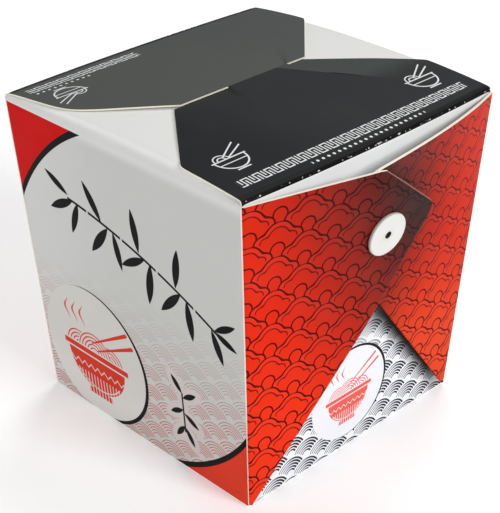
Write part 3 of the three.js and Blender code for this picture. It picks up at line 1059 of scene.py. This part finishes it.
def lid_paint(deep, black, marks, fret, dots, creased):
    """The ink runs from deep to black along the hinge, deep being painted shade towards the front end.
    marks are the bowls' places: run from the box's middle, place along the hinge, size. A fret and a
    row of dots are given by their run, their middle along the hinge and half their length. creased is
    1 for a flap with a crease."""
    def paint(x, y):
        # painted shade: the black darkens to deep towards the flap's front end
        colour = over(deep, black, rise(y - x * 0.5, -48, -12))
        # painted shade: the band along the rounded fold and the edge face below it are painted near
        # black
        colour = over(colour, ink(5, 5, 6), rise(x, 44.9, 45.7))
        run, middle, half = fret
        white = printed(hinge_fret, y, x - run) * inside(beyond_bar(x, y, run, middle, FRET_HALF, half))
        run, middle, half = dots
        dot = reach(y.math("WRAP", 1, -1), x - run) - DOT_RADIUS
        white = most(white, inside(most(dot, abs(y - middle) - half)))
        for run, along, size in marks:
            white = most(white, printed(bowl_mark, (y - along) / size, (run - x) / size))
        colour = over(colour, ink(226, 228, 228), white)
        past_crease = y - x * CREASE_SLOPE - CREASE_START
        lifted = rise(past_crease, -0.3, 0.6) * rise(x, 28, 16) * creased
        colour = over(colour, LIFTED_BLACK, lifted * (1 - white))
        # painted highlight: a thin lighter line along the crease
        shine = inside(abs(past_crease) - 0.14) * rise(x, 15, 9)
        colour = over(colour, CREASE_HIGHLIGHT, shine * creased)
        # painted shade: a black dash in the crease's groove
        groove = inside(abs(past_crease) - 0.3) * rise(abs(x - 15.5), 4.5, 2)
        colour = over(colour, CREASE_SHADE, groove * creased)
        return over(colour, ink(220, 218, 210), printed(fold_wear, x))

    return paint


# The right flap's one black ink, with painted shade darkening it towards its front end.
right_paint = lid_paint(
    deep=ink(20, 24, 26), black=ink(35, 38, 39), marks=((31, -36.5, 1.25), (31.8, 36.8, 1.3)),
    fret=(41.2, 0, 43.8), dots=(44.4, 0, 22), creased=1)
# The left flap's black is painted paler than the right's: painted sheen, as it tilts towards the light.
left_paint = lid_paint(
    deep=ink(76, 78, 77), black=ink(78, 80, 78), marks=((31.5, 38, 1.2),),
    fret=(41.4, 25, 20), dots=(38.2, 35, 10.5), creased=0)
for name, side, paint in (("lid_flap_right", 1, right_paint), ("lid_flap_left", -1, left_paint)):
    black_print = board_material(name + "_print", 0.5, paint, gloss=0.1)
    make_lid_flap(name, side, (black_print, white_board, cut_edge))

# ---- buttons ----
# A white moulded disc on a hollow pin holds each upper wing down. Its rim is rounded, and a low
# collar stands round the hole of the pin.

DISC_RADIUS = 6.5 * MM
DISC_TOP = 1 * MM
DISC_ROUNDING = 0.3 * MM
PIN_HOLE = 1.05 * MM
HOLE_DEPTH = 0.7 * MM
# width and rise of the rings that are moulded into the disc, inwards, in millimetres
RIM_RINGS = ((0.35, 0), (0.25, -0.05))
COLLAR_RINGS = ((0.2, 0.06), (1.58, 0), (0.12, -0.1))
BUTTON_U = 45.6 * MM
BUTTON_V = 73 * MM
DISC_SEAT = 0.1 * MM
DISC_SMOOTHING = 35


def on_wing(stand_off):
    """Turns and moves the disc onto the upper wing with that stand-off."""
    def spot(u, v):
        return wing_point(-1, u, v, stand_off(u, v))

    across = spot(BUTTON_U + DISC_RADIUS, BUTTON_V) - spot(BUTTON_U - DISC_RADIUS, BUTTON_V)
    upwards = spot(BUTTON_U, BUTTON_V + DISC_RADIUS) - spot(BUTTON_U, BUTTON_V - DISC_RADIUS)
    outwards = across.cross(upwards).normalized()
    turn = Vector((0, 0, 1)).rotation_difference(outwards)
    middle = spot(BUTTON_U, BUTTON_V) + outwards * DISC_SEAT
    return Matrix.Translation(middle) @ turn.to_matrix().to_4x4()


def paint_button(x, y):
    """White plastic, a little darker at the rim and round the pin's hole."""
    from_pin = reach(x, y)
    colour = over(ink(209, 209, 206), ink(198, 195, 188), rise(from_pin, 6, 6.6))
    colour = over(colour, ink(196, 192, 182), rise(from_pin, 2.4, 1.2) * 0.5)
    return over(colour, ink(46, 42, 40), rise(from_pin, PIN_HOLE / MM + 0.1, PIN_HOLE / MM - 0.02))


bpy.ops.object.select_all(action="DESELECT")
bpy.ops.mesh.primitive_cylinder_add(
    vertices=72, radius=DISC_RADIUS, depth=DISC_TOP, location=(0, 0, DISC_TOP / 2))
disc = new_piece("button_disc_right")
rounding = disc.modifiers.new("rounding", "BEVEL")
rounding.width = DISC_ROUNDING
rounding.segments = 4
rounding.limit_method = "ANGLE"
rounding.angle_limit = math.radians(60)
bpy.ops.object.modifier_apply(modifier=rounding.name)
bpy.ops.object.mode_set(mode="EDIT")
bpy.ops.mesh.select_mode(type="FACE")
bpy.ops.mesh.select_all(action="DESELECT")
bpy.ops.object.mode_set(mode="OBJECT")
for face in disc.data.polygons:
    face.select = len(face.vertices) > 4 and face.normal.z > 0.9
bpy.ops.object.mode_set(mode="EDIT")
ring_widths = sum(width for width, _ in RIM_RINGS + COLLAR_RINGS)
face_width = (DISC_RADIUS - DISC_ROUNDING - PIN_HOLE) / MM - ring_widths
for width, height in (*RIM_RINGS, (face_width, 0), *COLLAR_RINGS):
    bpy.ops.mesh.inset(thickness=width * MM, depth=height * MM)
bpy.ops.mesh.extrude_region_move(TRANSFORM_OT_translate={"value": (0, 0, -HOLE_DEPTH)})
bpy.ops.object.mode_set(mode="OBJECT")
print_map(disc.data, lambda face, vertex: (vertex.co.x, vertex.co.y))
disc.data.materials.append(board_material(
    "button_plastic", 0.34, paint_button, relief=0.000008, ripple=0.00002, gloss=0.25))

smooth_board(disc, DISC_SMOOTHING)
bpy.ops.object.duplicate()
opposite_disc = bpy.context.object
opposite_disc.name = opposite_disc.data.name = "button_disc_left"
disc.data.transform(on_wing(upper_stand_off))
opposite_disc.data.transform(on_wing(flatter(upper_stand_off)))
half_turn(opposite_disc)
for piece, node in ((disc, "button_right"), (opposite_disc, "button_left")):
    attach(piece, "root")
    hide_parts(node)

# ---- table, light and camera ----
# A pale table, a broad soft key light from the right, one from above and behind, a weaker one on
# the plain side in front, and even light all round.

TABLE_WHITE = ink(244, 244, 244)
TABLE_GLOW = 0.24
ROOM_LIGHT = 0.3

bpy.ops.object.select_all(action="DESELECT")
bpy.ops.mesh.primitive_plane_add(size=6, location=(0, 0, -0.05 * MM))
table = new_piece("table")
table_finish = bpy.data.materials.new("table_finish")
table_finish.use_nodes = True
table_shader = table_finish.node_tree.nodes["Principled BSDF"]
for label, value in (
        ("Base Color", TABLE_WHITE), ("Roughness", 0.9), ("Specular IOR Level", 0.1),
        ("Emission Color", (1, 1, 1, 1)), ("Emission Strength", TABLE_GLOW)):
    table_shader.inputs[label].default_value = value
table.data.materials.append(table_finish)

world = bpy.data.worlds.new("studio")
bpy.context.scene.world = world
world.use_nodes = True
background = world.node_tree.nodes["Background"]
background.inputs["Color"].default_value = (1, 1, 1, 1)
background.inputs["Strength"].default_value = ROOM_LIGHT


def soft_light(name, direction, distance, size, power):
    bpy.ops.object.light_add(type="AREA", location=Vector(direction).normalized() * distance)
    lamp = bpy.context.object
    lamp.name = name
    lamp.data.shape = "DISK"
    lamp.data.size = size
    lamp.data.energy = power
    lamp.rotation_euler = Vector(direction).to_track_quat("Z", "Y").to_euler()


soft_light("key_light", (0.8, 0.05, 0.5), 1.2, 0.5, 8.8)
soft_light("top_light", (-0.25, 0.5, 1), 1.3, 0.6, 6)
soft_light("front_light", (-0.25, -1, 0.35), 1.3, 0.6, 4)

VIEW_AZIMUTH = math.radians(45.558)
VIEW_ELEVATION = math.radians(29.901)
VIEW_ROLL = math.radians(-0.275)
VIEW_TARGET = Vector((1.24, -0.93, 46.34)) * MM
VIEW_DISTANCE = 426.6 * MM
FOCAL_PIXELS = 1440.9  # focal length in the picture's own pixels
PICTURE_HEIGHT = 513
SENSOR_WIDTH = 36

back = Vector((
    math.sin(VIEW_AZIMUTH) * math.cos(VIEW_ELEVATION),
    -math.cos(VIEW_AZIMUTH) * math.cos(VIEW_ELEVATION),
    math.sin(VIEW_ELEVATION),
))
bpy.ops.object.camera_add(location=VIEW_TARGET + back * VIEW_DISTANCE)
camera = bpy.context.object
facing = back.to_track_quat("Z", "Y") @ Matrix.Rotation(VIEW_ROLL, 3, "Z").to_quaternion()
camera.rotation_euler = facing.to_euler()
camera.data.sensor_width = SENSOR_WIDTH
camera.data.lens = FOCAL_PIXELS / PICTURE_HEIGHT * SENSOR_WIDTH
camera.data.clip_start = 0.01
bpy.context.scene.camera = camera
bpy.context.scene.view_settings.view_transform = "Standard"
